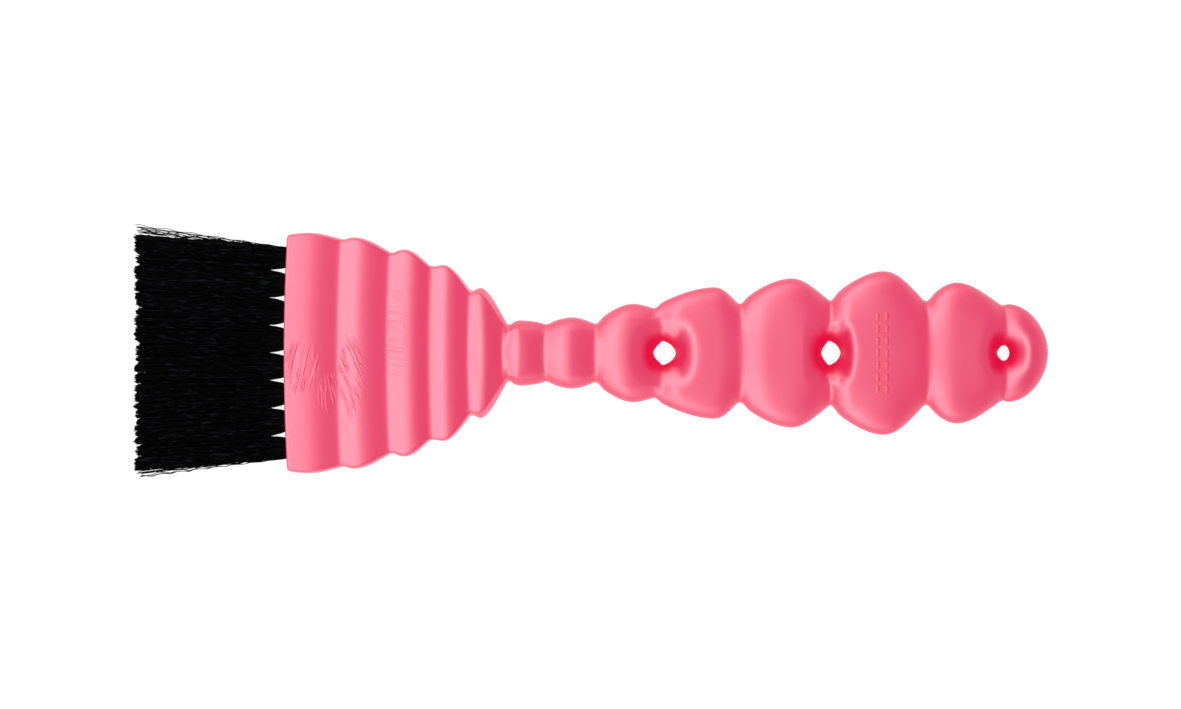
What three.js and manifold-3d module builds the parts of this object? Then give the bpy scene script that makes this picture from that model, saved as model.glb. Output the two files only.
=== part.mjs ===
// Hair tint brush: a one-piece moulded handle with a wide flat head, two rows of
// bristle tufts set in blind sockets in the head's face, and the flat metal anchor
// that holds each tuft down in its socket.
//
// Millimetres, +Z up. The brush lies flat: bristles towards -X, tail towards +X,
// width along Y. Everything is modelled from the middle of the head's face, with
// "distance" running from that face towards the tail, and the finished group is
// moved so that its origin is the centre of the bottom of its box.
import * as THREE from 'three';
import { mergeVertices } from 'three/addons/utils/BufferGeometryUtils.js';
import Module from 'manifold-3d';

const wasm = await Module();
wasm.setup();

// ---- driving dimensions -------------------------------------------------------

const HANDLE_LENGTH = 171.8;
const BRISTLE_LENGTH = 34;
const REST_HALF_THICKNESS = 6.75; // the head's first ridge is trimmed flat here, underneath
const FACE_ROUNDING = 1;
const CROWN_RADIUS = 450; // the head's face and ridges bow forward on this radius
const HEAD_LENGTH = 50;
const HEAD_SQUARENESS = 8; // superellipse exponent of the section at the face
const GRIP_SQUARENESS = 2.4; // and from the neck to the tail
const VALLEY_SOFTNESS = 0.15; // 0 is a sharp valley, 1 is as round as the crest
const TAIL_ROUNDNESS = 1.8; // superellipse exponent of the tail's outline
const TAIL_FLAT = 0.995; // the outline stops this far along the last lobe

// Outline seen from above, as [distance, half width] of every crest and valley.
const WIDTH_WAVES = [
  [0, 26.6], [4.6, 27.1], [12.5, 25.5], [14.7, 26.1], [23.5, 22.4], [26.2, 23.4],
  [32.7, 19.2], [35, 19.9], [41.7, 14], [43.3, 14.7], [50.1, 6.2], [52.4, 7.4],
  [55.4, 7.3], [58.8, 6.4], [64.5, 8.2], [70, 6.5], [78.2, 11.3], [83.1, 10.2],
  [96.6, 15.1], [102.2, 10.8], [113.6, 17.1], [122.6, 11.7], [134.4, 18.8],
  [144.1, 11.4], [150.6, 16.2], [161.2, 10.9], [162.8, 11.2],
];

// Profile seen from the side, as [distance, half thickness].
const THICKNESS_WAVES = [
  [0, 6.5], [6, 6.95], [11.8, 5.6], [17.2, 6.7], [22.8, 5.4], [28.6, 6.5],
  [32.3, 5.3], [36.8, 6.3], [40.9, 5], [45.1, 6.1], [48.5, 4.2], [53, 5.6],
  [58, 4.3], [63.8, 5.9], [69.3, 4.5], [76.4, 6.1], [84.4, 4.5], [89, 6.25],
  [97.8, 6.2], [102.2, 5.5], [109, 6.6], [114.5, 6.75], [121.9, 4.8], [127.6, 6.6],
  [135, 6.75], [144.1, 5.4], [150.2, 6.4], [157, 6.3], [161.8, 4], [165.2, 5.3],
];

// The three holes through the grip. Each is an oval at the mid-plane that opens
// into a wider dish at both faces: half sizes along the handle and across it.
const HOLES = [
  { distance: 85.2, length: 2.5, width: 2.8, dishLength: 4.1, dishWidth: 7.2 },
  { distance: 122.8, length: 2.1, width: 2.6, dishLength: 4, dishWidth: 7 },
  { distance: 161.7, length: 1.6, width: 1.8, dishLength: 3, dishWidth: 4.8 },
];
const DISH_HALF_THICKNESS = 5.6; // where a dish reaches its full size
const DISH_SHARPNESS = 2.6; // how suddenly the hole opens into its dish
const DISH_CUT_HEIGHT = 7.5;

// Two rows of tufts, one above the mid-plane and one below it.
const TUFTS_PER_ROW = 8;
const TUFT_PITCH = 6.15;
const ROW_HEIGHT = 2.95;
const SOCKET_RADIUS = 2.45;
const SOCKET_DEPTH = 8.6;
const CLEARANCE = 0.3; // between a piece and the pocket that it sits in
const TUFT_RADIUS = SOCKET_RADIUS - CLEARANCE;
const TIP_HALF_WIDTH = 28.3; // of the whole brush of bristles
const TIP_GAP = 0.3; // between neighbouring tufts at their tips
const TIP_HALF_THICKNESS = 4.9;
const SPLAY_DISTANCE = 9; // the tufts leave the face round and are full by here
const TIP_SQUARENESS = 5;

// The anchor is a flat strip driven across the fold of the tuft.
const ANCHOR_LENGTH = 1.8; // along the socket
const ANCHOR_WIDTH = 5.1; // wider than the socket, so that it bites its wall
const ANCHOR_THICKNESS = 0.45;
const ANCHOR_DEPTH = 6.1; // of its middle below the face

// ---- mesh helpers -------------------------------------------------------------

/**
 * A closed tube of rings, one ring for each entry of `stations`. `place` gets a
 * station, the direction round the ring and 1 on the ring or 0 at a cap's centre,
 * and returns the point. Rings run so that the faces point out when the stations
 * advance along +X with the ring in Y and Z, or along +Z with the ring in X and Y.
 */
function loft(sides, stations, place) {
  const geometry = new THREE.CylinderGeometry(1, 1, 1, sides, stations.length - 1);
  const position = geometry.getAttribute('position');
  for (let i = 0; i < position.count; i += 1) {
    const x = position.getX(i);
    const z = position.getZ(i);
    const along = (position.getY(i) + 0.5) * (stations.length - 1);
    const station = stations[Math.round(along)];
    const onRing = Math.hypot(x, z) > 0.5 ? 1 : 0;
    const point = place(station, Math.atan2(x, z), onRing);
    position.setXYZ(i, point.x, point.y, point.z);
  }
  return bareGeometry(geometry);
}

/** Only positions, with shared vertices merged. */
function bareGeometry(geometry) {
  geometry.deleteAttribute('normal');
  geometry.deleteAttribute('uv');
  return mergeVertices(geometry, 1e-4);
}

function toSolid(geometry) {
  return new wasm.Manifold(new wasm.Mesh({
    numProp: 3,
    vertProperties: new Float32Array(geometry.getAttribute('position').array),
    triVerts: new Uint32Array(geometry.getIndex().array),
  }));
}

function toGeometry(solid) {
  const mesh = solid.getMesh();
  const geometry = new THREE.BufferGeometry();
  geometry.setAttribute('position', new THREE.BufferAttribute(mesh.vertProperties, 3));
  geometry.setIndex(new THREE.BufferAttribute(mesh.triVerts, 1));
  geometry.computeVertexNormals();
  return geometry;
}

/** A power that keeps the sign, and is exactly 0 for rounding errors round 0. */
function signedPower(value, power) {
  const size = Math.abs(value);
  return size < 1e-6 ? 0 : Math.sign(value) * size ** power;
}

/** A point of a superellipse, at a direction round it. */
function superellipse(halfWidth, halfHeight, squareness, angle) {
  return {
    across: halfWidth * signedPower(Math.cos(angle), 2 / squareness),
    up: halfHeight * signedPower(Math.sin(angle), 2 / squareness),
  };
}

function box(length, width, height, centre) {
  const geometry = new THREE.BoxGeometry(length, width, height);
  geometry.translate(centre.x, centre.y, centre.z);
  return bareGeometry(geometry);
}

// ---- handle -------------------------------------------------------------------

/** The size at a distance, on a wave of rounded crests and nearly sharp valleys. */
function waveAt(waves, distance) {
  const last = waves[waves.length - 1];
  if (distance >= last[0]) {
    return last[1];
  }
  const next = waves.findIndex((point) => point[0] > distance);
  const [startDistance, startSize] = waves[next - 1];
  const [endDistance, endSize] = waves[next];
  const along = (distance - startDistance) / (endDistance - startDistance);
  const rising = endSize > startSize;
  const fromValley = rising ? along : 1 - along;
  const sharp = Math.sin((Math.PI / 2) * fromValley);
  const soft = (1 - Math.cos(Math.PI * fromValley)) / 2;
  const share = (1 - VALLEY_SOFTNESS) * sharp + VALLEY_SOFTNESS * soft;
  return Math.min(startSize, endSize) + Math.abs(endSize - startSize) * share;
}

/** How much the rounded edge of the face takes off a half size. */
function faceInset(distance) {
  const inside = Math.max(0, FACE_ROUNDING - distance);
  return FACE_ROUNDING - Math.sqrt(FACE_ROUNDING ** 2 - inside ** 2);
}

/** How far the last lobe has closed, from 1 at its crest to 0 at the tip. */
function tailShare(waves, distance) {
  const crest = waves[waves.length - 1][0];
  const beyond = Math.max(0, (distance - crest) / (HANDLE_LENGTH - crest));
  return (1 - beyond ** TAIL_ROUNDNESS) ** (1 / TAIL_ROUNDNESS);
}

function halfWidthAt(distance) {
  return waveAt(WIDTH_WAVES, distance) * tailShare(WIDTH_WAVES, distance) - faceInset(distance);
}

function halfThicknessAt(distance) {
  return waveAt(THICKNESS_WAVES, distance) * tailShare(THICKNESS_WAVES, distance)
    - faceInset(distance);
}

function squarenessAt(distance) {
  return THREE.MathUtils.lerp(
    HEAD_SQUARENESS,
    GRIP_SQUARENESS,
    THREE.MathUtils.smoothstep(distance, 0, HEAD_LENGTH),
  );
}

/** How far the face and the ridges bow back at a place across the handle. */
function crownAt(across) {
  return across ** 2 / (2 * CROWN_RADIUS);
}

/** Distances of the handle's rings: close over the face's edge and the tail. */
function handleStations() {
  const longestStep = 3.2;
  const edgeSteps = 3;
  const tailSteps = 5;
  const stations = [];
  for (let i = 0; i < edgeSteps; i += 1) {
    stations.push(FACE_ROUNDING * (1 - Math.cos((Math.PI / 2) * (i / edgeSteps))));
  }
  let start = FACE_ROUNDING;
  for (const [end] of WIDTH_WAVES.slice(1)) {
    const steps = Math.ceil((end - start) / longestStep);
    for (let i = 0; i < steps; i += 1) {
      stations.push(start + ((end - start) * i) / steps);
    }
    start = end;
  }
  for (let i = 0; i <= tailSteps; i += 1) {
    const turn = Math.asin(TAIL_FLAT) * (i / tailSteps);
    stations.push(start + (HANDLE_LENGTH - start) * Math.sin(turn));
  }
  return stations;
}

function handleBody() {
  const sides = 28;
  return toSolid(loft(sides, handleStations(), (distance, angle, onRing) => {
    const point = superellipse(
      halfWidthAt(distance),
      halfThicknessAt(distance),
      squarenessAt(distance),
      angle,
    );
    const across = point.across * onRing;
    const up = Math.max(point.up * onRing, -REST_HALF_THICKNESS);
    return new THREE.Vector3(distance + crownAt(across), across, up);
  }));
}

/** A hole through the grip with its two dishes. */
function holeCutter(hole) {
  const sides = 16;
  const steps = 8;
  const heights = [];
  for (let i = 0; i <= steps; i += 1) {
    heights.push(DISH_CUT_HEIGHT * ((2 * i) / steps - 1));
  }
  return toSolid(loft(sides, heights, (height, angle, onRing) => {
    const opening = (Math.abs(height) / DISH_HALF_THICKNESS) ** DISH_SHARPNESS;
    const length = hole.length + (hole.dishLength - hole.length) * opening;
    const width = hole.width + (hole.dishWidth - hole.width) * opening;
    return new THREE.Vector3(
      hole.distance + length * Math.cos(angle) * onRing,
      width * Math.sin(angle) * onRing,
      height,
    );
  }));
}

/** A round blind socket, open through the bowed face. */
function socketCutter(seat) {
  const sides = 12;
  const ends = [-2, SOCKET_DEPTH];
  return toSolid(loft(sides, ends, (distance, angle, onRing) => new THREE.Vector3(
    distance + crownAt(seat.across),
    seat.across + SOCKET_RADIUS * Math.cos(angle) * onRing,
    seat.up + SOCKET_RADIUS * Math.sin(angle) * onRing,
  )));
}

// ---- tufts and anchors --------------------------------------------------------

/** The strip's box, larger by a clearance on every side, or also wider to cut right through. */
function anchorBox(seat, clearance, width = ANCHOR_WIDTH) {
  const centre = new THREE.Vector3(ANCHOR_DEPTH + crownAt(seat.across), seat.across, seat.up);
  return box(
    ANCHOR_LENGTH + 2 * clearance,
    width + 2 * clearance,
    ANCHOR_THICKNESS + 2 * clearance,
    centre,
  );
}

/** A folded bundle of filaments: round in its socket, fanning out to its tip. */
function tuftSolid(seat) {
  const sides = 12;
  const root = SOCKET_DEPTH - CLEARANCE + crownAt(seat.across);
  const face = crownAt(seat.across);
  const stations = [-BRISTLE_LENGTH, -SPLAY_DISTANCE, -SPLAY_DISTANCE / 2, face, root];
  const tipPitch = (2 * TIP_HALF_WIDTH) / TUFTS_PER_ROW;
  const tipHalfThickness = (TIP_HALF_THICKNESS - TIP_GAP / 2) / 2;
  const tipUp = Math.sign(seat.up) * (tipHalfThickness + TIP_GAP / 2);
  const body = toSolid(loft(sides, stations, (distance, angle, onRing) => {
    const out = Math.max(0, face - distance);
    const fan = out / (face + BRISTLE_LENGTH);
    const fill = THREE.MathUtils.smoothstep(out, 0, SPLAY_DISTANCE);
    const pitch = THREE.MathUtils.lerp(TUFT_PITCH, tipPitch, fan);
    const point = superellipse(
      THREE.MathUtils.lerp(TUFT_RADIUS, (pitch - TIP_GAP) / 2, fill),
      THREE.MathUtils.lerp(TUFT_RADIUS, tipHalfThickness, fan),
      THREE.MathUtils.lerp(2, TIP_SQUARENESS, fill),
      angle,
    );
    const across = seat.across * (pitch / TUFT_PITCH);
    const up = THREE.MathUtils.lerp(seat.up, tipUp, fan);
    return new THREE.Vector3(distance, across + point.across * onRing, up + point.up * onRing);
  }));
  const slot = toSolid(anchorBox(seat, CLEARANCE, 3 * SOCKET_RADIUS));
  return body.subtract(slot);
}

/** Where each tuft is set: its row, its number from the left and its socket's axis. */
function tuftSeats() {
  const seats = [];
  for (const [row, side] of [['top', 1], ['bottom', -1]]) {
    for (let index = 0; index < TUFTS_PER_ROW; index += 1) {
      seats.push({
        name: `${row}_${index + 1}`,
        across: (index - (TUFTS_PER_ROW - 1) / 2) * TUFT_PITCH,
        up: side * ROW_HEIGHT,
      });
    }
  }
  return seats;
}

function handleSolid(seats) {
  let handle = handleBody();
  for (const hole of HOLES) {
    handle = handle.subtract(holeCutter(hole));
  }
  for (const seat of seats) {
    handle = handle.subtract(socketCutter(seat));
    handle = handle.subtract(toSolid(anchorBox(seat, CLEARANCE / 2)));
  }
  return handle;
}

// ---- the brush ----------------------------------------------------------------

const MATERIALS = {
  handle: { color: 0xf15f84, roughness: 0.42, metalness: 0 },
  bristle: { color: 0x0b0c10, roughness: 0.45, metalness: 0 },
  anchor: { color: 0xb9b4a8, roughness: 0.35, metalness: 1 },
};

function namedMesh(name, geometry, finish) {
  const mesh = new THREE.Mesh(geometry, new THREE.MeshStandardMaterial(finish));
  mesh.name = name;
  return mesh;
}

const seats = tuftSeats();
const brush = new THREE.Group();
brush.add(namedMesh('handle', toGeometry(handleSolid(seats)), MATERIALS.handle));
for (const seat of seats) {
  brush.add(namedMesh(`tuft_${seat.name}`, toGeometry(tuftSolid(seat)), MATERIALS.bristle));
}
for (const seat of seats) {
  const strip = toGeometry(toSolid(anchorBox(seat, 0)));
  brush.add(namedMesh(`anchor_${seat.name}`, strip, MATERIALS.anchor));
}

const tipDistance = handleStations().at(-1);
brush.position.set((BRISTLE_LENGTH - tipDistance) / 2, 0, REST_HALF_THICKNESS);

export default brush;
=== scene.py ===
"""The finished look of a hair tint brush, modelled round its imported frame.

The moulded handle is one skin drawn out ring by ring from the head's face, with three
dished holes, sixteen bristle sockets and two columns of raised grip bars. Each tuft is a
bundle of separate crimped filaments. The metal anchors are the frame's own.
"""
import math
import random

import bmesh
import bpy
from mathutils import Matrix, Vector


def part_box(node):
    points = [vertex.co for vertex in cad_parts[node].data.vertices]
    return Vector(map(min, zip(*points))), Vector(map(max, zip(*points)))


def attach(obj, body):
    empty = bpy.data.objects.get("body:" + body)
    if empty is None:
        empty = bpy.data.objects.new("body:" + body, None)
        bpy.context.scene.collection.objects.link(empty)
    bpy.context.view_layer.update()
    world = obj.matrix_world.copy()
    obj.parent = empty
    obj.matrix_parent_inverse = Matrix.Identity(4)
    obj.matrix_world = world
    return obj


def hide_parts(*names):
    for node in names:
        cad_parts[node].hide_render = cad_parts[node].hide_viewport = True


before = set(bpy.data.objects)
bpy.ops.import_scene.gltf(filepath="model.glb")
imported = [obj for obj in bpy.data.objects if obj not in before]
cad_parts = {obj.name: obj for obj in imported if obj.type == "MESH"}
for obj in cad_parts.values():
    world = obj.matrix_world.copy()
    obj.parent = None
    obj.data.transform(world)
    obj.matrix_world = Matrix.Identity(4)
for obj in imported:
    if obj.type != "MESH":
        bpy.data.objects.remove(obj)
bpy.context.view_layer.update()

MM = 0.001
TINY = 1e-6

# ---- where things are, from the frame -------------------------------------------

TUFTS_PER_ROW = 8
ROWS = ("top", "bottom")
handle_low, handle_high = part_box("handle")
FACE_X = handle_low.x  # the middle of the head's bowed face
HANDLE_LENGTH = handle_high.x - handle_low.x
MID_Z = (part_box("tuft_top_1")[1].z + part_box("tuft_bottom_1")[0].z) / 2

# ---- the handle's shape, in millimetres from the face ---------------------------

# Outline seen from above: [distance, half width] of every crest and valley.
WIDTH_WAVES = [
    (0, 26.6), (4.6, 27.1), (12.5, 25.5), (14.7, 26.1), (23.5, 22.4), (26.2, 23.4),
    (32.7, 19), (35, 19.9), (41.7, 13.7), (43.3, 14.9), (50.1, 6), (52.4, 7.5),
    (55.4, 7.3), (58.8, 6.4), (64.5, 8.2), (70, 6.5), (78.2, 11.3), (83.1, 10.1), (96.6, 15.1),
    (102.2, 10.7), (113.6, 17.1), (122.6, 11.6), (134.4, 18.8), (144.1, 11.3),
    (150.6, 16.2), (161.2, 10.7), (162.8, 11.3),
]
# Profile seen from the side: [distance, half thickness]. Two crests in a row are a flat top.
THICKNESS_WAVES = [
    (0, 6.3), (6, 6.75), (11.8, 5.6), (17.2, 6.7), (22.8, 5.4), (28.6, 6.5),
    (32.3, 5.3), (36.8, 6.3), (40.9, 5), (45.1, 6.1), (48.5, 4.2), (53, 5.6),
    (58, 4.3), (63.8, 5.9), (69.3, 4.5), (76.4, 6.1), (79.4, 5.9), (84.4, 4.6),
    (88.3, 6.2), (97.8, 6.2), (102.2, 5.5), (109, 6.6), (114.5, 6.75), (117, 6.7),
    (121.9, 4.9), (126.9, 6.6), (135, 6.75), (140.6, 6.4), (144.1, 5.4), (150.2, 6.4),
    (157, 6.3), (161.8, 4), (165.2, 5.3),
]
FACE_ROUNDING = 0.45
CROWN_RADIUS = 450.0
# How a wave goes up to a crest and down to a valley. Softness 0 is a sharp valley and 1 one as
# round as the crest; fullness 0 is a sine's crest and 1 a half ellipse's.
WIDTH_SHAPE = {
    "rise": {"softness": 0.2, "fullness": 0.7},
    "fall": {"softness": 0.2, "fullness": 0.1},
}
THICKNESS_SHAPE = {
    "rise": {"softness": 0.4, "fullness": 0},
    "fall": {"softness": 0.15, "fullness": 0},
}
TAIL_ROUNDNESS = 1.8  # power of the tail's outline, where 2 is an ellipse
TAIL_FLAT = 0.995  # of the tail's length, where its rings end in one point
HEAD_LENGTH = 37.0  # over which the section stays a rounded rectangle
NECK_DISTANCE = 57.0  # where it has become the grip's oval
HEAD_ROUNDNESS = 0.05  # of the head's rectangular section, where 1 is the grip's oval
RING_ACROSS = 14  # faces of a ring along its top and along its bottom
RING_THROUGH = 6  # and along each side
CORNER_CROWDING = 1.6  # of the ring's points along the top, where 1 is even
LONGEST_STEP = 1.6  # between two rings
SHORTEST_STEP = 0.6
EDGE_STEPS = 3  # rings on the face's rounded edge
TAIL_STEPS = 6  # and from the last crest to the tip
LEAST_ROUNDING = 1e-4  # a smaller change of a ring's roundness is left out

# Each hole has its middle's distance, its half length and half width, the share of the
# thickness left where its dish is deepest, how far the dish fades out round its core, and
# how far from the hole's middle the surface is smoothed.
HOLES = [
    {"distance": 85.2, "length": 2.95, "width": 2.75, "dish": 0.35, "reach": 3.3, "smoothed": 7.5},
    {"distance": 122.6, "length": 2.65, "width": 2.75, "dish": 0.35, "reach": 3.8, "smoothed": 5.5},
    {"distance": 161.7, "length": 1.95, "width": 1.78, "dish": 0.35, "reach": 3.2, "smoothed": 5.5},
]
DISH_FORWARD = 1.4  # how far in front of the hole its dish has its middle
# The slope behind each hole runs round it in an arc.
ARC_SHIFT = 0.4  # how far the slope is moved back in the middle
ARC_WIDTH = 5.5  # half width of the arc
ARC_START = 2.6  # from the hole's centre to where the whole shift is reached
ARC_END = 8.0  # and to where the lobe is as it was
DISH_CORE_LENGTH = 0.35  # of the hole's half length that is drawn in fully
DISH_CORE_WIDTH = 0.9  # and of its half width
HOLE_BLOCK = 1.25  # of the half width, within which faces are opened
THROAT_HALF_THICKNESS = 0.9
ABOVE_THROAT = 1.05  # of the throat's half thickness, above which the dish is smoothed
THROAT_CUTS = 3
FACES_UP = 0.2  # least upright share of a normal for a face that is opened
SMOOTHINGS = 5
CORNER_SHARE = 0.4  # rim points further out than this both ways are the oval's corners
CORNER_PULL = 0.84
RIM_MARGIN = 1.01  # of a half size, within which a point is on the rim

# Two columns of short raised bars on the widest lobe's crest.
BAR_DISTANCES = (132.8, 134.8)
BAR_COUNT = 7
BAR_PITCH = 2.7
BAR_LENGTH = 1.7
BAR_WIDTH = 0.7
BAR_HEIGHT = 0.4
BAR_ROOT = 0.6  # how deep it is sunk into the lobe
BAR_BEVEL = 0.15
ABOVE_BARS = 20  # over the mid-plane, from where the lobe's surface is looked for

# ---- sockets and tufts, in millimetres ------------------------------------------

TUFT_PITCH = 6.15
ROW_HEIGHT = 2.95
SOCKET_RADIUS = 2.45
SOCKET_DEPTH = 8.6
MOUTH_CHAMFER = 0.2
CUTTER_OVERRUN = 1.0  # how far a socket's cutter stands out of the face
FACES_BACK = -0.9  # a cutter's end face has a normal with less than this along X
SOCKET_SIDES = 32
SHARP_EDGE = math.radians(35)

BRISTLE_LENGTH = (FACE_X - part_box("tuft_top_1")[0].x) / MM
STRANDS = 360  # in one tuft
STRAND_RADIUS = 0.1
STRAND_SIDES = 3
TURN_JITTER = 0.3  # of a strand's even place round its tuft, in radians
ROW_SEED = 100  # apart, for the random numbers of the two rows
CLOSE_STEPS = 24  # along a strand that can be seen
INNER_STEPS = 8  # along one that can't
INNER_SHARE = 0.64  # of the strands
ROOT_DEPTH = 8.0
ANCHOR_GAP = 0.17  # of the tuft's half height that the anchor keeps free inside the socket
BUNDLE_RADIUS = 2.22
GAP_CLOSES = 5.0  # distance from the face at which neighbouring tufts meet
FLARE = 0.6  # under 1 the tufts spread at once on leaving the face
MET_HALF_WIDTH = 3.15
TIP_HALF_WIDTH = 3.5
TIP_HALF_HEIGHT = 2.35
TIP_FAN = 1.13  # how much wider apart the tufts' middles are at the tips than at the face
TIP_SQUARENESS = 0.85
CLUMPS = 6  # bunches side by side that a tuft's strands gather in towards the tips
CLUMP_JITTER = 0.08
CLUMP_UP = 0.3  # how far a clump lies above or below the middle at most, where 1 is the edge
CLUMPING = 0.25
CLUMP_SHORTENING = 0.5
CLUMP_POINT = 4.5  # how much shorter the strands at a clump's sides are cut
TIP_RAGGEDNESS = 0.25
CRIMP_LENGTH = 5.0
CRIMP_HEIGHT = 0.22
LENGTH_SPREAD = (0.8, 1.2)  # of the crimp's length from strand to strand
HEIGHT_SPREAD = (0.5, 1.4)  # and of its height
CRIMP_STARTS = 7.0
LEAN = 0.15
EDGE_THINNING = 1.5  # how far the outermost strands of an edge tuft are drawn in at the tips
LOOSE_PLACE = 0.6  # strands further out than this in an edge tuft may be loose ones
LOOSE_SHARE = 0.14
LOOSE_LEAN = 1.0  # how far a loose strand may lean outwards, and half as far inwards

# ---- finishes -------------------------------------------------------------------

# Patches of fine creases: where each has its middle, how far it reaches, and its turn.
CREASE_PATCHES = [
    {"distance": 4, "across": -3, "length": 4.5, "width": 7, "turn": math.radians(14)},
    {"distance": 10.5, "across": -9, "length": 3, "width": 5, "turn": math.radians(-12)},
    {"distance": 15, "across": -5, "length": 3.2, "width": 10, "turn": math.radians(-24)},
    {"distance": 25, "across": 5, "length": 2.4, "width": 12, "turn": math.radians(98)},
]
CREASES_PER_METRE = 1500
CREASE_STRETCH = 13  # how much longer a crease is than it is wide
CREASE_WANDER = 0.3
CREASE_SHARPNESS = 9
UPRIGHT_NOISE = 50  # blobs to a metre along Z, where creases and breaks hardly change
BREAKS_NOISE = (300, 110, UPRIGHT_NOISE)  # of the breaks, where the creases fade
BREAKS_GAIN = 4
BREAKS_LEAST = 0.8
PATCH_GAIN = 2  # how steeply an oval patch fades in from its edge
# Painted shade in the recess round each hole: a darker matte red mixed in over an oval in front of
# the hole.
RECESS_FORWARD = 1.0
RECESS_LENGTH = 4.3
RECESS_WIDTH = 5.2
RECESS_TOP = 5.6  # above the mid-plane, where it begins
RECESS_DEPTH = 2.2  # below that it is at its deepest
RECESS_SHADE_SHARE = 0.75  # of the painted shade there
RECESS_SHADE_RED = (0.93, 0.004, 0.08)

# Every noise has its number of blobs to a metre along X, Y and Z.
PINK = (0.95, 0.010, 0.115)
PALER_PINK = (0.95, 0.016, 0.140)
CLOUD_NOISE = (55, 55, 55)
PEEL_NOISE = (700, 700, 700)
SATIN_NOISE = (140, 140, 140)
SATIN_ROUGHNESS = {"least": 0.33, "more": 0.08}
PEEL_HEIGHT = 0.1  # share of the relief
CREASE_HEIGHT = 0.9
PLASTIC_RELIEF = 0.09

NYLON_BLACK = (0.0006, 0.0006, 0.0008)
# the colour of the glints painted onto the strands
NYLON_PAINTED_GLINT = (0.016, 0.018, 0.027)
STRAND_NOISE = (60, 2500, 2500)
PAINTED_GLINT_NOISE = (350, 1700, 1700)
PAINTED_GLINT_LEAST = 0.6  # noise above which a strand takes a painted glint
PAINTED_GLINT_GAIN = 9
NYLON_ROUGHNESS = {"least": 0.2, "more": 0.35}
NYLON_NOISE = (1500, 4000, 4000)
NYLON_RELIEF = 0.01

DARK_STEEL = (0.46, 0.45, 0.43)
BRIGHT_STEEL = (0.62, 0.61, 0.59)
ROLLING_NOISE = (9000, 250, 9000)
STEEL_ROUGHNESS = {"least": 0.24, "more": 0.2}
STEEL_RELIEF = 0.01

# The Mix node's colour sockets.
MIX_FIRST = 6
MIX_SECOND = 7
MIX_RESULT = 2

# ---- stage, in metres -----------------------------------------------------------

FLOOR_SIZE = 6
FLOOR_GREY = 0.35
FLOOR_GLOW = 0.9
SKY_BRIGHTNESS = 0.68
CAMERA_PLACE = (-0.00025, -0.00034)
CAMERA_HEIGHT = 0.849  # above the mid-plane, far enough to see the brush nearly flat
CAMERA_LENS = 115
CAMERA_SENSOR = 36
# Soft boxes turned to the brush, on one side or on both. One that only shines shows as a
# highlight and lights nothing: the even sky does the rest.
SOFT_BOXES = [
    {
        "name": "top_box", "place": (-0.05, 0, 1.2), "size": (2.4, 0.7),
        "radiance": 0.7, "sides": (1,), "only_shines": False,
    },
    {
        "name": "side_box", "place": (-0.05, 1.1, 0.3), "size": (1.0, 0.6),
        "radiance": 1.4, "sides": (-1, 1), "only_shines": True,
    },
    {
        "name": "left_window", "place": (-0.57, 0, 0.9), "size": (2.4, 0.55),
        "radiance": 5.4, "sides": (1,), "only_shines": True,
    },
    {
        "name": "left_corner", "place": (-0.6, 1.1, 0.4), "size": (0.9, 0.7),
        "radiance": 3, "sides": (-1, 1), "only_shines": True,
    },
]


# ---- modelling helpers ----------------------------------------------------------

def make_active(piece):
    bpy.ops.object.select_all(action="DESELECT")
    piece.select_set(True)
    bpy.context.view_layer.objects.active = piece


def name_piece(name):
    """The active object and its mesh take a piece's name."""
    piece = bpy.context.object
    piece.name = name
    piece.data.name = name
    return piece


def place_in_mesh(piece):
    make_active(piece)
    bpy.ops.object.transform_apply(location=True, rotation=True, scale=True)


def edit(piece):
    make_active(piece)
    bpy.ops.object.mode_set(mode="EDIT")


def stop_editing():
    bpy.ops.object.mode_set(mode="OBJECT")


def select_where(piece, kind, test):
    """In edit mode, selects only the vertices, edges or faces that pass the test."""
    bpy.ops.mesh.select_mode(type=kind)
    bpy.ops.mesh.select_all(action="DESELECT")
    work = bmesh.from_edit_mesh(piece.data)
    elements = {"VERT": work.verts, "EDGE": work.edges, "FACE": work.faces}[kind]
    for element in elements:
        if test(element):
            element.select_set(True)
    work.select_flush_mode()
    bmesh.update_edit_mesh(piece.data)


def selected_points(piece):
    work = bmesh.from_edit_mesh(piece.data)
    return [vertex.co.copy() for vertex in work.verts if vertex.select]


def turn_faces_outward(piece):
    edit(piece)
    bpy.ops.mesh.select_all(action="SELECT")
    bpy.ops.mesh.normals_make_consistent(inside=False)
    stop_editing()


def extrude_along(step):
    """Extrudes the selection along X, by a step in millimetres."""
    bpy.ops.mesh.extrude_region_move(TRANSFORM_OT_translate={"value": (step * MM, 0, 0)})


def apply_modifier(piece, kind, **settings):
    make_active(piece)
    modifier = piece.modifiers.new(kind.lower(), kind)
    for key, value in settings.items():
        setattr(modifier, key, value)
    bpy.ops.object.modifier_apply(modifier=modifier.name)


# ---- handle ---------------------------------------------------------------------

def wave_at(waves, distance, shape):
    """The size at a distance, on a wave of rounded crests and sharper valleys."""
    if distance >= waves[-1][0]:
        return waves[-1][1]
    after = next(i for i, point in enumerate(waves) if point[0] > distance)
    start, start_size = waves[after - 1]
    end, end_size = waves[after]
    along = (distance - start) / (end - start)
    rises = end_size > start_size
    from_valley = along if rises else 1 - along
    way = shape["rise" if rises else "fall"]
    full = math.sqrt(1 - (1 - from_valley) ** 2)
    sharp = (1 - way["fullness"]) * math.sin(math.pi / 2 * from_valley) + way["fullness"] * full
    soft = (1 - math.cos(math.pi * from_valley)) / 2
    share = (1 - way["softness"]) * sharp + way["softness"] * soft
    return min(start_size, end_size) + abs(end_size - start_size) * share


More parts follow.
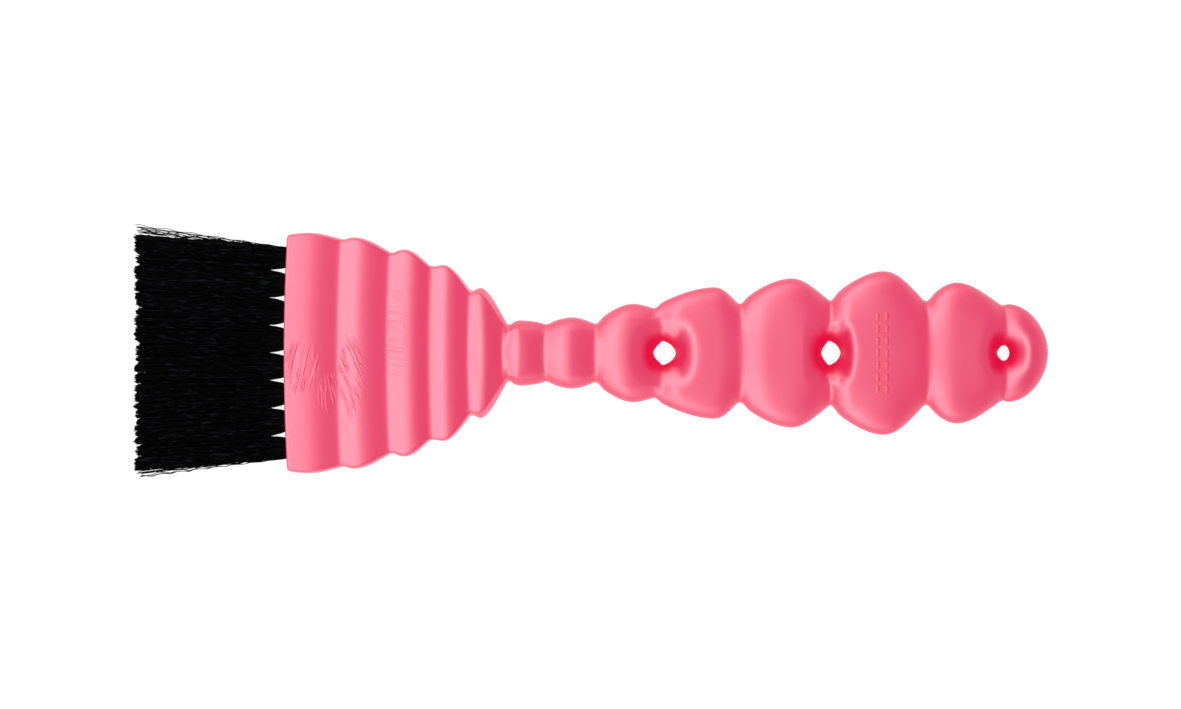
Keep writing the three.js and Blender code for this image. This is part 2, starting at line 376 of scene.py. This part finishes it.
def tail_share(waves, distance):
    """How far the last lobe has closed, from 1 at its crest to 0 at the tip."""
    crest = waves[-1][0]
    beyond = max(0.0, (distance - crest) / (HANDLE_LENGTH / MM - crest))
    return max(0.0, 1 - beyond ** TAIL_ROUNDNESS) ** (1 / TAIL_ROUNDNESS)


def face_inset(distance):
    """How much the rounded edge of the face takes off a half size."""
    inside = max(0.0, FACE_ROUNDING - distance)
    return FACE_ROUNDING - math.sqrt(FACE_ROUNDING ** 2 - inside ** 2)


def half_width(distance):
    wave = wave_at(WIDTH_WAVES, distance, WIDTH_SHAPE)
    return (wave * tail_share(WIDTH_WAVES, distance) - face_inset(distance)) * MM


def half_thickness(distance):
    wave = wave_at(THICKNESS_WAVES, distance, THICKNESS_SHAPE)
    return (wave * tail_share(THICKNESS_WAVES, distance) - face_inset(distance)) * MM


def smooth_step(value):
    value = min(1.0, max(0.0, value))
    return value * value * (3 - 2 * value)


def roundness_at(distance):
    share = smooth_step((distance - HEAD_LENGTH) / (NECK_DISTANCE - HEAD_LENGTH))
    return HEAD_ROUNDNESS + (1 - HEAD_ROUNDNESS) * share


def ring_distances():
    """A ring at every crest, valley and hole edge, and at even steps between them."""
    stops = {point[0] for point in WIDTH_WAVES + THICKNESS_WAVES}
    for hole in HOLES:
        stops |= {hole["distance"] + side * hole["length"] for side in (-1, 0, 1)}
    stops = sorted(stop for stop in stops if FACE_ROUNDING < stop <= WIDTH_WAVES[-1][0])
    rings = [
        FACE_ROUNDING * (1 - math.cos(math.pi / 2 * i / EDGE_STEPS))
        for i in range(EDGE_STEPS)
    ]
    start = FACE_ROUNDING
    for stop in stops:
        if stop - start < SHORTEST_STEP:
            continue
        steps = math.ceil((stop - start) / LONGEST_STEP)
        rings += [start + (stop - start) * i / steps for i in range(steps)]
        start = stop
    tail = HANDLE_LENGTH / MM - start
    turns = [math.asin(TAIL_FLAT) * i / TAIL_STEPS for i in range(TAIL_STEPS + 1)]
    return rings + [start + tail * math.sin(turn) for turn in turns]


def resize_ring(piece, x, width, thickness):
    """Scales the selected ring to these half sizes round the handle's axis."""
    points = selected_points(piece)
    width_now = max(abs(point.y) for point in points)
    thickness_now = max(abs(point.z - MID_Z) for point in points)
    bpy.ops.transform.resize(
        value=(1, width / width_now, thickness / thickness_now),
        center_override=(x, 0, MID_Z),
    )


def round_ring(piece, x, step):
    """Moves the selected ring's square outline part of the way to a circle."""
    if step < LEAST_ROUNDING:
        return
    resize_ring(piece, x, 1, 1)
    bpy.ops.transform.tosphere(value=step)


def crowded(place):
    """Moves a place between -1 and 1 towards the nearer end."""
    return math.copysign(1 - max(0.0, 1 - abs(place)) ** CORNER_CROWDING, place)


def draw_out_handle():
    """The face's grid, then its rim extruded and resized at each ring, closed at the tail."""
    bpy.ops.mesh.primitive_grid_add(
        x_subdivisions=RING_THROUGH,
        y_subdivisions=RING_ACROSS,
        size=2,
        location=(FACE_X, 0, MID_Z),
        rotation=(0, -math.pi / 2, 0),
    )
    handle = name_piece("moulded_handle")
    place_in_mesh(handle)
    for vertex in handle.data.vertices:
        vertex.co.y = crowded(vertex.co.y)
    edit(handle)
    bpy.ops.mesh.select_all(action="SELECT")
    bpy.ops.mesh.region_to_loop()
    bpy.ops.transform.tosphere(value=HEAD_ROUNDNESS)
    bpy.ops.mesh.select_mode(type="VERT")
    bpy.ops.mesh.select_all(action="SELECT")
    rings = ring_distances()
    resize_ring(handle, FACE_X, half_width(rings[0]), half_thickness(rings[0]))
    bpy.ops.mesh.region_to_loop()
    for before, distance in zip(rings, rings[1:]):
        x = FACE_X + distance * MM
        extrude_along(distance - before)
        squareness_left = (1 - roundness_at(distance)) / max(1 - roundness_at(before), TINY)
        round_ring(handle, x, 1 - squareness_left)
        resize_ring(handle, x, half_width(distance), half_thickness(distance))
    bpy.ops.mesh.merge(type="CENTER")
    bpy.ops.mesh.select_all(action="SELECT")
    bpy.ops.mesh.normals_make_consistent(inside=False)
    stop_editing()
    return handle


def arc_behind_hole(handle, hole):
    """Moves the slope behind a hole back in the middle, so that it runs round the hole."""
    for vertex in handle.data.vertices:
        behind = (vertex.co.x - FACE_X) / MM - hole["distance"]
        if not 0 < behind < ARC_END:
            continue
        sooner = smooth_step(behind / ARC_START)
        later = smooth_step((ARC_END - behind) / (ARC_END - ARC_START))
        middle = math.exp(-((vertex.co.y / MM / ARC_WIDTH) ** 2))
        vertex.co.x += ARC_SHIFT * MM * sooner * later * middle


def hole_centre(hole):
    return Vector((FACE_X + hole["distance"] * MM, 0, MID_Z))


def sink_dish(handle, hole):
    """Draws both faces in towards the mid-plane round the hole, with a soft edge."""
    middle = hole_centre(hole) - Vector((DISH_FORWARD * MM, 0, 0))
    edit(handle)
    select_where(handle, "VERT", lambda vertex: (
        abs(vertex.co.x - middle.x) < DISH_CORE_LENGTH * hole["length"] * MM
        and abs(vertex.co.y) < DISH_CORE_WIDTH * hole["width"] * MM
    ))
    bpy.ops.transform.resize(
        value=(1, 1, hole["dish"]),
        center_override=middle,
        use_proportional_edit=True,
        proportional_edit_falloff="SMOOTH",
        proportional_size=hole["reach"] * MM,
    )
    stop_editing()


def shape_throat_mouth(handle, centre, hole, side):
    """Makes one open edge of the hole a flat oval, a little pointed at its four ends."""
    height = centre.z + side * THROAT_HALF_THICKNESS * MM

    def on_open_edge(edge):
        middle = (edge.verts[0].co + edge.verts[1].co) / 2
        return edge.is_boundary and side * (middle.z - centre.z) > 0

    select_where(handle, "EDGE", on_open_edge)
    points = selected_points(handle)
    mean_z = sum(point.z for point in points) / len(points)
    bpy.ops.transform.translate(value=(0, 0, height - mean_z))
    bpy.ops.transform.resize(value=(1, 1, 0), center_override=(centre.x, 0, height))
    bpy.ops.transform.tosphere(value=1)
    points = selected_points(handle)
    length_now = max(abs(point.x - centre.x) for point in points)
    width_now = max(abs(point.y) for point in points)
    bpy.ops.transform.resize(
        value=(hole["length"] * MM / length_now, hole["width"] * MM / width_now, 1),
        center_override=(centre.x, 0, height),
    )

    def on_corner(vertex):
        along = abs(vertex.co.x - centre.x) / (hole["length"] * MM)
        across = abs(vertex.co.y) / (hole["width"] * MM)
        on_rim = abs(vertex.co.z - height) < TINY and max(along, across) < RIM_MARGIN
        return on_rim and min(along, across) > CORNER_SHARE

    select_where(handle, "VERT", on_corner)
    bpy.ops.transform.resize(
        value=(CORNER_PULL, CORNER_PULL, 1),
        center_override=(centre.x, 0, height),
    )


def pierce_hole(handle, hole):
    """Opens a block of faces on both sides and joins the two edges through the handle."""
    centre = hole_centre(hole)
    edit(handle)
    select_where(handle, "FACE", lambda face: (
        abs(face.calc_center_median().x - centre.x) < hole["length"] * MM
        and abs(face.calc_center_median().y) < HOLE_BLOCK * hole["width"] * MM
        and abs(face.normal.z) > FACES_UP
    ))
    bpy.ops.mesh.delete(type="FACE")
    for side in (-1, 1):
        shape_throat_mouth(handle, centre, hole, side)
    select_where(handle, "EDGE", lambda edge: edge.is_boundary)
    bpy.ops.mesh.bridge_edge_loops(number_cuts=THROAT_CUTS)
    select_where(handle, "VERT", lambda vertex: (
        math.hypot(vertex.co.x - centre.x, vertex.co.y) < hole["smoothed"] * MM
        and abs(vertex.co.z - centre.z) > ABOVE_THROAT * THROAT_HALF_THICKNESS * MM
    ))
    bpy.ops.mesh.vertices_smooth(factor=0.5, repeat=SMOOTHINGS)
    bpy.ops.mesh.select_all(action="SELECT")
    bpy.ops.mesh.normals_make_consistent(inside=False)
    stop_editing()


def bow_in_plan(handle):
    """The face and the ridges bow forward in the middle on one large radius."""
    for vertex in handle.data.vertices:
        vertex.co.x += vertex.co.y ** 2 / (2 * CROWN_RADIUS * MM)


def column_place(column):
    """A tuft's place across the face, in millimetres."""
    return (column - (TUFTS_PER_ROW + 1) / 2) * TUFT_PITCH


def face_bow(across):
    """How far the bowed face has run back at that place, in millimetres."""
    return across ** 2 / (2 * CROWN_RADIUS)


def socket_cutter(across, height):
    """A socket's bore with its flared mouth, as the tool that is taken from the head."""
    mouth = FACE_X + face_bow(across) * MM
    bpy.ops.mesh.primitive_cylinder_add(
        vertices=SOCKET_SIDES,
        radius=SOCKET_RADIUS * MM,
        depth=SOCKET_DEPTH * MM,
        location=(mouth + SOCKET_DEPTH / 2 * MM, across * MM, MID_Z + height * MM),
        rotation=(0, -math.pi / 2, 0),
    )
    cutter = name_piece("socket_cutter")
    place_in_mesh(cutter)
    edit(cutter)
    select_where(cutter, "FACE", lambda face: face.normal.x < FACES_BACK)
    flare = 1 + MOUTH_CHAMFER / SOCKET_RADIUS
    centre = (mouth, across * MM, MID_Z + height * MM)
    bpy.ops.transform.translate(value=(MOUTH_CHAMFER * MM, 0, 0))
    extrude_along(-MOUTH_CHAMFER)
    bpy.ops.transform.resize(value=(1, flare, flare), center_override=centre)
    extrude_along(-CUTTER_OVERRUN)
    stop_editing()
    return cutter


def grip_bar(handle, distance, across):
    """One raised bar, sunk into the crest of the lobe at that place."""
    above = Vector((FACE_X + distance * MM, across * MM, MID_Z + ABOVE_BARS * MM))
    surface = handle.ray_cast(above, Vector((0, 0, -1)))[1]
    bpy.ops.mesh.primitive_cube_add(
        size=1,
        scale=(BAR_WIDTH * MM, BAR_LENGTH * MM, (BAR_HEIGHT + BAR_ROOT) * MM),
        location=surface + Vector((0, 0, (BAR_HEIGHT - BAR_ROOT) / 2 * MM)),
    )
    bar = name_piece("grip_bar")
    place_in_mesh(bar)
    edit(bar)
    bpy.ops.mesh.select_all(action="SELECT")
    bpy.ops.mesh.bevel(offset=BAR_BEVEL * MM, segments=2)
    stop_editing()
    return bar


def join_tools(tools):
    make_active(tools[0])
    for tool in tools:
        tool.select_set(True)
    bpy.ops.object.join()
    return tools[0]


def combine(piece, tools, operation):
    """Adds the tools to a piece or takes them from it, and removes them."""
    tool = join_tools(tools)
    apply_modifier(piece, "BOOLEAN", operation=operation, object=tool, solver="MANIFOLD")
    bpy.data.objects.remove(tool)


def make_handle():
    handle = draw_out_handle()
    for hole in HOLES:
        arc_behind_hole(handle, hole)
        sink_dish(handle, hole)
        pierce_hole(handle, hole)
    bow_in_plan(handle)
    apply_modifier(handle, "SUBSURF", levels=2, render_levels=2)
    bars = [
        grip_bar(handle, distance, (i - (BAR_COUNT - 1) / 2) * BAR_PITCH)
        for distance in BAR_DISTANCES
        for i in range(BAR_COUNT)
    ]
    combine(handle, bars, "UNION")
    cutters = [
        socket_cutter(column_place(column), side * ROW_HEIGHT)
        for side in (1, -1)
        for column in range(1, TUFTS_PER_ROW + 1)
    ]
    combine(handle, cutters, "DIFFERENCE")
    make_active(handle)
    bpy.ops.object.shade_smooth_by_angle(angle=SHARP_EDGE)
    return handle


# ---- tufts ----------------------------------------------------------------------

def make_clumps(column):
    """The clumps side by side that the tufts of a column share, from one side to the other."""
    chance = random.Random(column)
    clumps = []
    for index in range(CLUMPS):
        even = (2 * index + 1) / CLUMPS - 1
        clumps.append({
            "across": even + chance.gauss(0, CLUMP_JITTER),
            "up": chance.uniform(-CLUMP_UP, CLUMP_UP),
            "shorter": chance.uniform(0, CLUMP_SHORTENING),
        })
    return clumps


def start_tuft(row, column):
    """Where a tuft stands, and the clumps that its strands gather in."""
    return {
        "chance": random.Random(ROW_SEED * (1 + ROWS.index(row)) + column),
        "across": column_place(column),
        "side": 1 if row == "top" else -1,
        "at_edge": column in (1, TUFTS_PER_ROW),
        "clumps": make_clumps(column),
    }


def strand_place(tuft, across, up, distance):
    """Where a straight strand passes, in millimetres, that far out of the face."""
    near = min(1.0, max(0.0, distance) / GAP_CLOSES) ** FLARE
    far = max(0.0, distance) / BRISTLE_LENGTH
    gap = ANCHOR_GAP * (1 - near)
    up = math.copysign(gap + (1 - gap) * abs(up), up)
    to_square = math.hypot(across, up) / max(abs(across), abs(up))
    stretch = 1 + TIP_SQUARENESS * near * (to_square - 1)
    on_outside = tuft["at_edge"] and across * tuft["across"] > 0
    spread = far if on_outside else near
    half_width = (
        BUNDLE_RADIUS
        + (MET_HALF_WIDTH - BUNDLE_RADIUS) * spread
        + (TIP_HALF_WIDTH - MET_HALF_WIDTH) * far
    )
    half_height = BUNDLE_RADIUS + (TIP_HALF_HEIGHT - BUNDLE_RADIUS) * near
    middle_y = tuft["across"] * (1 + (TIP_FAN - 1) * far)
    middle_z = tuft["side"] * (ROW_HEIGHT + (TIP_HALF_HEIGHT - ROW_HEIGHT) * near)
    return middle_y + across * stretch * half_width, middle_z + up * stretch * half_height


def strand_points(tuft, index):
    """A strand's crimped path from the bottom of its socket to its cut tip."""
    chance = tuft["chance"]
    share = (index + 0.5) / STRANDS
    turn = index * math.pi * (3 - math.sqrt(5)) + chance.uniform(-TURN_JITTER, TURN_JITTER)
    across = math.sqrt(share) * math.cos(turn)
    up = math.sqrt(share) * math.sin(turn)
    clump = min(tuft["clumps"], key=lambda one: abs(one["across"] - across))
    outward = across * math.copysign(1, tuft["across"])
    is_loose = tuft["at_edge"] and outward > LOOSE_PLACE and chance.random() < LOOSE_SHARE
    phase = chance.uniform(0, 2 * math.pi)
    plane = chance.uniform(0, 2 * math.pi)
    wave = CRIMP_LENGTH * chance.uniform(*LENGTH_SPREAD)
    height = CRIMP_HEIGHT * chance.uniform(*HEIGHT_SPREAD)
    lean_y = chance.gauss(0, LEAN)
    if is_loose:
        lean_y += chance.uniform(-LOOSE_LEAN / 2, LOOSE_LEAN) * math.copysign(1, tuft["across"])
    elif tuft["at_edge"] and outward > 0:
        lean_y -= outward * EDGE_THINNING * math.copysign(1, tuft["across"])
    bow = face_bow(tuft["across"])
    to_side = abs(clump["across"] - across)
    cut = clump["shorter"] + CLUMP_POINT * to_side + abs(chance.gauss(0, TIP_RAGGEDNESS))
    length = BRISTLE_LENGTH + bow - cut
    steps = INNER_STEPS if share < INNER_SHARE else CLOSE_STEPS
    points = []
    for distance in [-ROOT_DEPTH] + [length * i / steps for i in range(steps + 1)]:
        out = max(0.0, distance)
        gather = 0 if is_loose else CLUMPING * (out / length) ** 2
        y, z = strand_place(
            tuft,
            across + (clump["across"] - across) * gather,
            up + (clump["up"] - up) * gather,
            distance,
        )
        crimped = smooth_step(out / CRIMP_STARTS)
        swing = height * crimped * math.sin(2 * math.pi * out / wave + phase)
        y += swing * math.cos(plane) + lean_y * out / length
        z += swing * math.sin(plane)
        points.append((FACE_X + (bow - distance) * MM, y * MM, MID_Z + z * MM))
    return points


def add_spline(curve, points, closed=False):
    spline = curve.splines.new("POLY")
    spline.points.add(len(points) - 1)
    for point, place in zip(spline.points, points):
        point.co = (*place, 1)
    spline.use_cyclic_u = closed


def make_strand_section():
    """The small outline that is swept along every strand."""
    curve = bpy.data.curves.new("strand_section", "CURVE")
    turns = [2 * math.pi * i / STRAND_SIDES for i in range(STRAND_SIDES)]
    corners = [
        (STRAND_RADIUS * MM * math.cos(turn), STRAND_RADIUS * MM * math.sin(turn), 0)
        for turn in turns
    ]
    add_spline(curve, corners, closed=True)
    section = bpy.data.objects.new("strand_section", curve)
    bpy.context.scene.collection.objects.link(section)
    return section


def make_tuft(row, column, section):
    """A bundle of separate crimped strands standing in its socket."""
    tuft = start_tuft(row, column)
    name = f"bristles_{row}_{column}"
    curve = bpy.data.curves.new(name, "CURVE")
    curve.dimensions = "3D"
    curve.bevel_mode = "OBJECT"
    curve.bevel_object = section
    curve.use_fill_caps = True
    for index in range(STRANDS):
        add_spline(curve, strand_points(tuft, index))
    bundle = bpy.data.objects.new(name, curve)
    bpy.context.scene.collection.objects.link(bundle)
    make_active(bundle)
    bpy.ops.object.convert(target="MESH")
    bundle = name_piece(name)
    turn_faces_outward(bundle)
    bpy.ops.object.shade_smooth()
    return bundle


# ---- materials ------------------------------------------------------------------

class Number:
    """A socket that carries a number, on which ordinary arithmetic adds Math nodes."""

    def __init__(self, finish, socket):
        self.finish = finish
        self.socket = socket

    def math(self, operation, first, second, clamp=False):
        settings = {"operation": operation, "use_clamp": clamp}
        node = self.finish.node("ShaderNodeMath", settings, {0: first, 1: second})
        return Number(self.finish, node.outputs[0])

    def __add__(self, other):
        return self.math("ADD", self, other)

    def __radd__(self, other):
        return self.math("ADD", other, self)

    def __sub__(self, other):
        return self.math("SUBTRACT", self, other)

    def __rsub__(self, other):
        return self.math("SUBTRACT", other, self)

    def __mul__(self, other):
        return self.math("MULTIPLY", self, other)

    def __rmul__(self, other):
        return self.math("MULTIPLY", other, self)

    def __truediv__(self, other):
        return self.math("DIVIDE", self, other)

    def __abs__(self):
        return self.math("ABSOLUTE", self, 0)

    def clamped(self):
        return self.math("ADD", self, 0, clamp=True)

    def or_more(self, other):
        return self.math("MAXIMUM", self, other)


class Finish:
    """A material, its Principled shader and the nodes that are added behind it."""

    def __init__(self, name, **constants):
        self.material = bpy.data.materials.new(name)
        self.material.use_nodes = True
        self.tree = self.material.node_tree
        self.shader = self.tree.nodes["Principled BSDF"]
        for socket, value in constants.items():
            self.shader.inputs[socket.replace("_", " ")].default_value = value
        self.place = self.node("ShaderNodeTexCoord", {}, {}).outputs["Object"]

    def feed(self, socket, value):
        """Links a value to a socket, or sets it there."""
        if isinstance(value, Number):
            value = value.socket
        if isinstance(value, bpy.types.NodeSocket):
            self.tree.links.new(value, socket)
        else:
            socket.default_value = value

    def node(self, kind, settings, values):
        node = self.tree.nodes.new(kind)
        for key, value in settings.items():
            setattr(node, key, value)
        for key, value in values.items():
            self.feed(node.inputs[key], value)
        return node

    def noise(self, scale, detail=2.0, distortion=0.0, place=None):
        """Noise of so many blobs to a metre along each axis, from 0 to 1."""
        factors = {0: place or self.place, 1: scale}
        stretched = self.node("ShaderNodeVectorMath", {"operation": "MULTIPLY"}, factors)
        values = {
            "Vector": stretched.outputs[0],
            "Scale": 1.0,
            "Detail": detail,
            "Distortion": distortion,
        }
        node = self.node("ShaderNodeTexNoise", {}, values)
        return Number(self, node.outputs["Fac"])

    def mixed(self, share, first, second):
        """One colour turning into another as the share goes from 0 to 1."""
        values = {"Factor": share, MIX_FIRST: (*first, 1), MIX_SECOND: (*second, 1)}
        node = self.node("ShaderNodeMix", {"data_type": "RGBA"}, values)
        return node.outputs[MIX_RESULT]

    def bump(self, height, distance):
        """A normal from a height of 0 to 1 that stands for that distance in metres."""
        values = {"Height": height, "Distance": distance, "Strength": 1.0}
        return self.node("ShaderNodeBump", {}, values).outputs["Normal"]

    def paint_shade(self, share, colour):
        """Mixes in a matte shader of a darker colour by a share, as painted shade without
        reflection.
        """
        matte = {"Base Color": (*colour, 1), "Roughness": 1.0, "Specular IOR Level": 0.0}
        deep = self.node("ShaderNodeBsdfPrincipled", {}, matte)
        shaders = {0: share, 1: self.shader.outputs[0], 2: deep.outputs[0]}
        mixed = self.node("ShaderNodeMixShader", {}, shaders)
        self.feed(self.tree.nodes["Material Output"].inputs["Surface"], mixed.outputs[0])

    def set(self, **values):
        for socket, value in values.items():
            self.feed(self.shader.inputs[socket.replace("_", " ")], value)


def handle_axes(finish):
    """Distance from the face, place across and height above the mid-plane, in millimetres."""
    axes = finish.node("ShaderNodeSeparateXYZ", {}, {0: finish.place})
    distance = (Number(finish, axes.outputs["X"]) - FACE_X) / MM
    across = Number(finish, axes.outputs["Y"]) / MM
    up = (Number(finish, axes.outputs["Z"]) - MID_Z) / MM
    return distance, across, up


def in_oval(along_share, across_share):
    """A share that is 1 in an oval's middle and 0 on its edge and outside."""
    return (1 - along_share * along_share - across_share * across_share).clamped()


def recess_shade(finish):
    """How much painted shade a place in the recess round a hole takes, from 0 to 1, more the deeper
    it lies.
    """
    distance, across, up = handle_axes(finish)
    across_share = across / RECESS_WIDTH
    inside = None
    for hole in HOLES:
        along_share = (distance - (hole["distance"] - RECESS_FORWARD)) / RECESS_LENGTH
        oval = in_oval(along_share, across_share)
        inside = oval if inside is None else inside.or_more(oval)
    depth = ((RECESS_TOP - abs(up)) / RECESS_DEPTH).clamped()
    return (inside * PATCH_GAIN).clamped() * depth


def hairline_creases(finish):
    """Fine creases across the head in a few patches, each turned its own way, from 0 to 1."""
    distance, across = handle_axes(finish)[:2]
    spacing = (CREASES_PER_METRE, CREASES_PER_METRE / CREASE_STRETCH, UPRIGHT_NOISE)
    height = None
    for patch in CREASE_PATCHES:
        along_share = (distance - patch["distance"]) / patch["length"]
        across_share = (across - patch["across"]) / patch["width"]
        inside = in_oval(along_share, across_share)
        turned = finish.node(
            "ShaderNodeMapping",
            {"vector_type": "POINT"},
            {"Vector": finish.place, "Rotation": (0, 0, patch["turn"])},
        )
        wander = finish.noise(spacing, 0.0, CREASE_WANDER, turned.outputs["Vector"])
        line = (1 - abs(wander - 0.5) * CREASE_SHARPNESS).clamped()
        lines = line * (inside * PATCH_GAIN).clamped()
        height = lines if height is None else height.or_more(lines)
    breaks = finish.noise(BREAKS_NOISE, 1.0) * BREAKS_GAIN
    return height * (breaks - BREAKS_LEAST).clamped()


def pink_plastic():
    """Satin injection-moulded plastic with a slight orange peel, and painted shade in the recesses
    round the holes.
    """
    finish = Finish("pink_plastic", Specular_IOR_Level=1.0)
    cloudiness = finish.noise(CLOUD_NOISE, 3.0)
    peel = finish.noise(PEEL_NOISE, 2.0)
    creases = hairline_creases(finish)
    height = peel * PEEL_HEIGHT + creases * CREASE_HEIGHT
    satin = SATIN_ROUGHNESS["more"] * finish.noise(SATIN_NOISE, 3.0)
    finish.set(
        Base_Color=finish.mixed(cloudiness, PINK, PALER_PINK),
        Roughness=SATIN_ROUGHNESS["least"] + satin,
        Normal=finish.bump(height, PLASTIC_RELIEF * MM),
    )
    # Painted shade: the recesses round the holes take a darker, matte red.
    finish.paint_shade(recess_shade(finish) * RECESS_SHADE_SHARE, RECESS_SHADE_RED)
    return finish.material


def black_nylon():
    """Dyed filament, each strand a little duller or shinier than the next, with short glints
    painted into its colour.
    """
    finish = Finish("black_nylon", Specular_IOR_Level=0.02)
    strand = finish.noise(STRAND_NOISE, 1.0)
    # Painted highlight: short glints along the strands are mixed into the base colour.
    painted_glint = ((finish.noise(PAINTED_GLINT_NOISE, 1.0) - PAINTED_GLINT_LEAST) * PAINTED_GLINT_GAIN).clamped()
    finish.set(
        Base_Color=finish.mixed(painted_glint, NYLON_BLACK, NYLON_PAINTED_GLINT),
        Roughness=NYLON_ROUGHNESS["least"] + NYLON_ROUGHNESS["more"] * strand,
        Normal=finish.bump(finish.noise(NYLON_NOISE, 1.0), NYLON_RELIEF * MM),
    )
    return finish.material


def anchor_steel():
    """Thin strip steel with rolling marks along its length."""
    finish = Finish("anchor_steel", Metallic=1.0)
    marks = finish.noise(ROLLING_NOISE, 2.0)
    finish.set(
        Base_Color=finish.mixed(marks, DARK_STEEL, BRIGHT_STEEL),
        Roughness=STEEL_ROUGHNESS["least"] + STEEL_ROUGHNESS["more"] * marks,
        Normal=finish.bump(marks, STEEL_RELIEF * MM),
    )
    return finish.material


def give_finish(piece, material):
    piece.data.materials.clear()
    piece.data.materials.append(material)


# ---- stage ----------------------------------------------------------------------

def make_floor():
    bpy.ops.mesh.primitive_plane_add(size=FLOOR_SIZE, location=(0, 0, 0))
    floor = name_piece("floor")
    matte = Finish(
        "pale_floor",
        Base_Color=(FLOOR_GREY, FLOOR_GREY, FLOOR_GREY, 1),
        Roughness=1,
        Specular_IOR_Level=0,
        Emission_Color=(1, 1, 1, 1),
        Emission_Strength=FLOOR_GLOW,
    )
    floor.data.materials.append(matte.material)


def make_soft_box(box, side):
    """A rectangular light of an even brightness, turned to the brush."""
    width, height = box["size"]
    x, y, z = box["place"]
    place = Vector((x, y * side, z))
    data = bpy.data.lights.new(box["name"], "AREA")
    data.shape = "RECTANGLE"
    data.size = width
    data.size_y = height
    data.energy = box["radiance"] * math.pi * width * height
    light = bpy.data.objects.new(box["name"], data)
    bpy.context.scene.collection.objects.link(light)
    light.location = place
    light.rotation_euler = (-place).to_track_quat("-Z", "Y").to_euler()
    light.visible_diffuse = not box["only_shines"]


def make_camera():
    """Straight above the brush, looking down."""
    data = bpy.data.cameras.new("camera")
    data.lens = CAMERA_LENS
    data.sensor_width = CAMERA_SENSOR
    camera = bpy.data.objects.new("camera", data)
    bpy.context.scene.collection.objects.link(camera)
    camera.location = (*CAMERA_PLACE, CAMERA_HEIGHT + MID_Z)
    bpy.context.scene.camera = camera


def light_the_studio():
    world = bpy.data.worlds.new("studio")
    world.use_nodes = True
    background = world.node_tree.nodes["Background"]
    background.inputs["Color"].default_value = (1, 1, 1, 1)
    background.inputs["Strength"].default_value = SKY_BRIGHTNESS
    bpy.context.scene.world = world
    for box in SOFT_BOXES:
        for side in box["sides"]:
            make_soft_box(box, side)
    bpy.context.scene.view_settings.view_transform = "Standard"


# ---- build ----------------------------------------------------------------------

make_camera()
light_the_studio()
make_floor()

handle = make_handle()
give_finish(handle, pink_plastic())
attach(handle, "root")
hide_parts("handle")

nylon = black_nylon()
steel = anchor_steel()
section = make_strand_section()
for row in ROWS:
    for column in range(1, TUFTS_PER_ROW + 1):
        bundle = make_tuft(row, column, section)
        give_finish(bundle, nylon)
        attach(bundle, "root")
        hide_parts(f"tuft_{row}_{column}")
        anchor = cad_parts[f"anchor_{row}_{column}"]
        give_finish(anchor, steel)
bpy.data.objects.remove(section)
